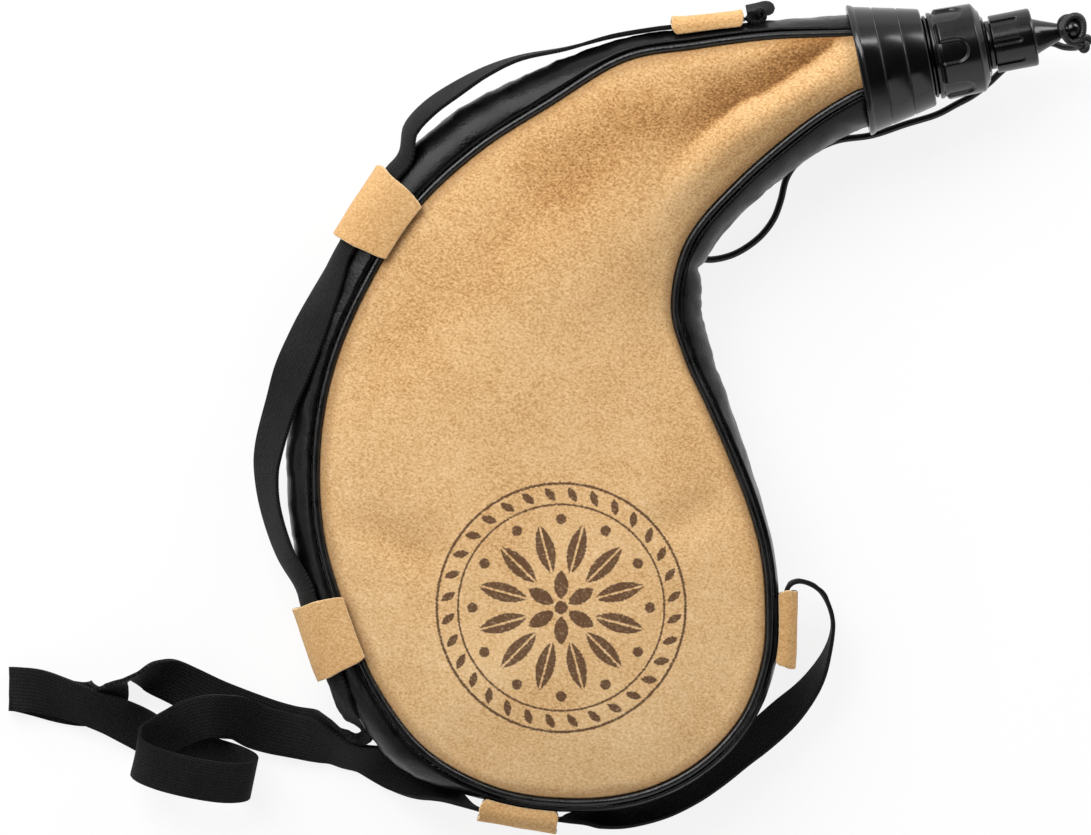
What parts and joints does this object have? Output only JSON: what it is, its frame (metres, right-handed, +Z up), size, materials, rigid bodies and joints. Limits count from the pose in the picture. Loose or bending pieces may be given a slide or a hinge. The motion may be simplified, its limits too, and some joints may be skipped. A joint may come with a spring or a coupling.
{
  "type": "leather drinking bag",
  "caption": "Curved leather drinking bag with a black side strip, belt loops, a woven strap, a tapered neck collar, a screw filling cap with a drinking spout and a small screw cap on a cord.",
  "frame": {"origin": "the centre of the bag's footprint, without its strap and its keeper cord, on the surface it lies on", "axes": "+Z up out of the bag's front face; the neck points along +X, turned 10.9 degrees towards +Y; the base of the bag is towards -Y"},
  "size_m": [0.3909, 0.299, 0.0479],
  "materials": {
    "suede": "tan suede",
    "coated_cloth": "black coated cloth, glossy",
    "liner_film": "soft liner film",
    "clamp_steel": "plain steel band",
    "moulded_plastic": "black moulded plastic, satin",
    "washer_rubber": "soft washer",
    "woven_tape": "black woven tape",
    "braided_cord": "black braided cord"
  },
  "bodies": {
    "bag": {"front_panel": "suede", "back_panel": "suede", "side_gusset": "coated_cloth", "front_piping": "coated_cloth", "back_piping": "coated_cloth", "bladder": "liner_film", "clamp_ring": "clamp_steel", "loop_top": "suede", "loop_shoulder": "suede", "loop_hip": "suede", "loop_base": "suede", "loop_side": "suede", "neck_collar": "moulded_plastic", "neck_tube": "moulded_plastic", "strap_upper": "woven_tape", "strap_slack": "woven_tape", "strap_side": "woven_tape", "strap_end": "woven_tape", "tether_loop": "braided_cord"},
    "fill_washer": {"fill_seal": "washer_rubber"},
    "fill_cap": {"fill_cap": "moulded_plastic", "spout": "moulded_plastic"},
    "drinking_washer": {"drinking_seal": "washer_rubber"},
    "drinking_cap": {"drinking_cap": "moulded_plastic"},
    "keeper": {"tether_knot": "braided_cord", "tether_lead": "braided_cord"}
  },
  "joints": [
    {"name": "fill_cap_lift", "type": "slide", "parent": "bag", "child": "fill_washer", "axis": [0.982, 0.1891, 0], "range_m": [0, 0.008]},
    {"name": "fill_cap_turn", "type": "hinge", "parent": "fill_washer", "child": "fill_cap", "pos_m": [0.06048, 0.12582, 0.024], "axis": [0.982, 0.1891, 0], "range_deg": [0, 720]},
    {"name": "drinking_cap_lift", "type": "slide", "parent": "fill_cap", "child": "drinking_washer", "axis": [0.982, 0.1891, 0], "range_m": [0, 0.006]},
    {"name": "drinking_cap_turn", "type": "hinge", "parent": "drinking_washer", "child": "drinking_cap", "pos_m": [0.06048, 0.12582, 0.024], "axis": [0.982, 0.1891, 0], "range_deg": [0, 720]},
    {"name": "keeper_lift", "type": "slide", "parent": "fill_washer", "child": "keeper", "axis": [0.982, 0.1891, 0], "range_m": [0, 0.006]}
  ],
  "couplings": [
    {"joint": "fill_cap_lift", "follows": "fill_cap_turn", "m_per_rad": 0.000636},
    {"joint": "drinking_cap_lift", "follows": "drinking_cap_turn", "m_per_rad": 0.000477},
    {"joint": "keeper_lift", "follows": "drinking_cap_turn", "m_per_rad": 0.000477}
  ]
}
